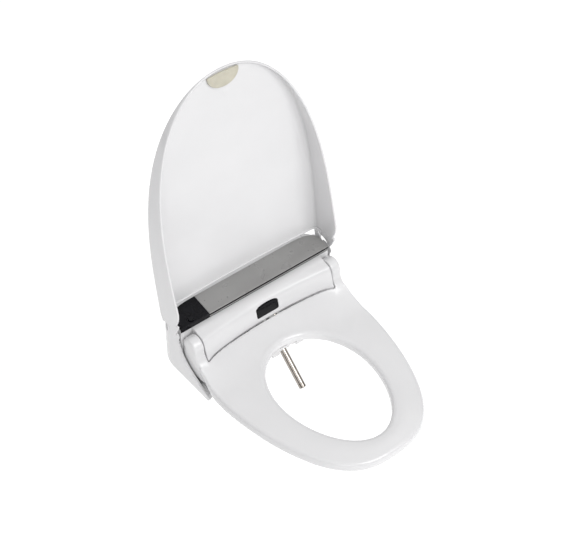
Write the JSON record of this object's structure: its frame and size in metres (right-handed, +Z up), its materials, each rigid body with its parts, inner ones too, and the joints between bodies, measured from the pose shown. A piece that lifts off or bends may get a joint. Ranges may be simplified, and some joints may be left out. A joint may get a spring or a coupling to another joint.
{
  "type": "electric bidet seat",
  "caption": "Heated toilet seat with soft-close lid, rear water and electrics housing with grey top panel, steel wash nozzles, warm air drying, and bowl mounting plate.",
  "frame": {"origin": "on the bowl's top face, midway between the two mounting bolts, on the underside of the mounting plate", "axes": "+Z up, -Y towards the front of the seat, +X to the right of someone who faces the seat from the front"},
  "size_m": [0.3784, 0.508, 0.6384],
  "materials": {
    "white_shell": "gloss white moulded shells: housing, casing, seat and lid",
    "panel_grey": "glossy smoky grey panel",
    "black_gloss": "piano black",
    "soft_cream": "translucent cream elastomer",
    "steel": "drawn stainless steel",
    "bracket_metal": "zinc-grey pressed steel",
    "board": "glass-epoxy circuit board",
    "white_inner": "matt white engineering plastic",
    "natural_plastic": "natural acetal and polypropylene",
    "black_plastic": "black plastic",
    "heater_foil": "foil heating element",
    "black_rubber": "black rubber"
  },
  "bodies": {
    "base": {"lower_casing": "white_shell", "upper_housing": "white_shell", "top_panel": "panel_grey", "panel_trim": "panel_grey", "control_panel": "black_gloss", "sensor_window": "black_gloss", "receiver_board": "board", "switch_board": "board", "control_board": "board", "power_module": "board", "cord_gland": "black_rubber", "hinge_brackets": "bracket_metal", "seat_hinge_pins": "steel", "lid_hinge_pins": "steel", "seat_damper": "bracket_metal", "lid_damper": "bracket_metal", "nozzle_cradle": "white_inner", "nozzle_guard": "white_shell", "nozzle_motors": "bracket_metal", "water_inlet": "natural_plastic", "inlet_filter": "steel", "inlet_valve": "white_inner", "water_tank": "natural_plastic", "tank_heater": "steel", "water_pump": "black_plastic", "water_pipes": "natural_plastic", "blower_housing": "black_plastic", "dryer_heater": "steel", "dryer_duct": "white_inner", "fan_frame": "black_plastic", "drain_plug": "natural_plastic", "casing_screws": "steel", "mounting_plate": "black_plastic", "mounting_bolts": "steel", "bolt_bushings": "black_rubber", "bolt_washers": "steel", "wing_nuts": "natural_plastic", "base_pads": "black_rubber"},
    "seat": {"seat_top": "white_shell", "seat_bottom": "white_shell", "seat_heater": "heater_foil", "seat_bumpers": "soft_cream"},
    "lid_body": {"lid": "white_shell", "lid_arms": "white_shell", "lid_pad": "soft_cream"},
    "wash_slider": {"wash_nozzle": "steel", "wash_tip": "steel", "wash_carriage": "white_inner"},
    "wash_gear": {"wash_pinion": "natural_plastic"},
    "bidet_slider": {"bidet_nozzle": "steel", "bidet_tip": "steel", "bidet_carriage": "white_inner"},
    "bidet_gear": {"bidet_pinion": "natural_plastic"},
    "aux_key": {"aux_button": "black_gloss"},
    "release_key": {"release_button": "white_shell"},
    "blower_rotor": {"blower_impeller": "black_plastic"},
    "fan_rotor": {"deodoriser_fan": "black_plastic"},
    "filter_cartridge": {"deodoriser_filter": "black_plastic"},
    "flap": {"dryer_flap": "white_inner"}
  },
  "joints": [
    {"name": "lid_hinge", "type": "hinge", "parent": "base", "child": "lid_body", "pos_m": [0, -0.0217, 0.1013], "axis": [-1, 0, 0], "range_deg": [-105.3, 0]},
    {"name": "seat_hinge", "type": "hinge", "parent": "base", "child": "seat", "pos_m": [0, -0.071, 0.088], "axis": [-1, 0, 0], "range_deg": [0, 105]},
    {"name": "wash_slide", "type": "slide", "parent": "base", "child": "wash_slider", "axis": [0, -0.7547, -0.6561], "range_m": [-0.0855, 0]},
    {"name": "wash_pinion_turn", "type": "hinge", "parent": "base", "child": "wash_gear", "pos_m": [0.005, -0.06485, 0.02868], "axis": [1, 0, 0], "range_deg": [-571, 0]},
    {"name": "bidet_slide", "type": "slide", "parent": "base", "child": "bidet_slider", "axis": [0, -0.7547, -0.6561], "range_m": [0, 0.0855]},
    {"name": "bidet_pinion_turn", "type": "hinge", "parent": "base", "child": "bidet_gear", "pos_m": [0.023, -0.06485, 0.02868], "axis": [1, 0, 0], "range_deg": [0, 571]},
    {"name": "aux_button_press", "type": "slide", "parent": "base", "child": "aux_key", "axis": [0, 0, -1], "range_m": [0, 0.0012], "stiffness_N_per_m": 600},
    {"name": "release_button_press", "type": "slide", "parent": "base", "child": "release_key", "axis": [-1, 0, 0], "range_m": [0, 0.003], "stiffness_N_per_m": 600},
    {"name": "blower_spin", "type": "hinge", "parent": "base", "child": "blower_rotor", "pos_m": [0.086, -0.012, 0.017], "axis": [0, 0, 1], "continuous": true},
    {"name": "deodoriser_fan_spin", "type": "hinge", "parent": "base", "child": "fan_rotor", "pos_m": [0.124, -0.022, 0.041], "axis": [1, 0, 0], "continuous": true},
    {"name": "filter_pull", "type": "slide", "parent": "base", "child": "filter_cartridge", "axis": [1, 0, 0], "range_m": [0, 0.055]},
    {"name": "flap_hinge", "type": "hinge", "parent": "base", "child": "flap", "pos_m": [0.07, -0.1162, 0.0192], "axis": [-1, 0, 0], "range_deg": [0, 60]}
  ],
  "couplings": [
    {"joint": "wash_pinion_turn", "follows": "wash_slide", "rad_per_m": 116.36},
    {"joint": "bidet_pinion_turn", "follows": "bidet_slide", "rad_per_m": 116.36}
  ]
}
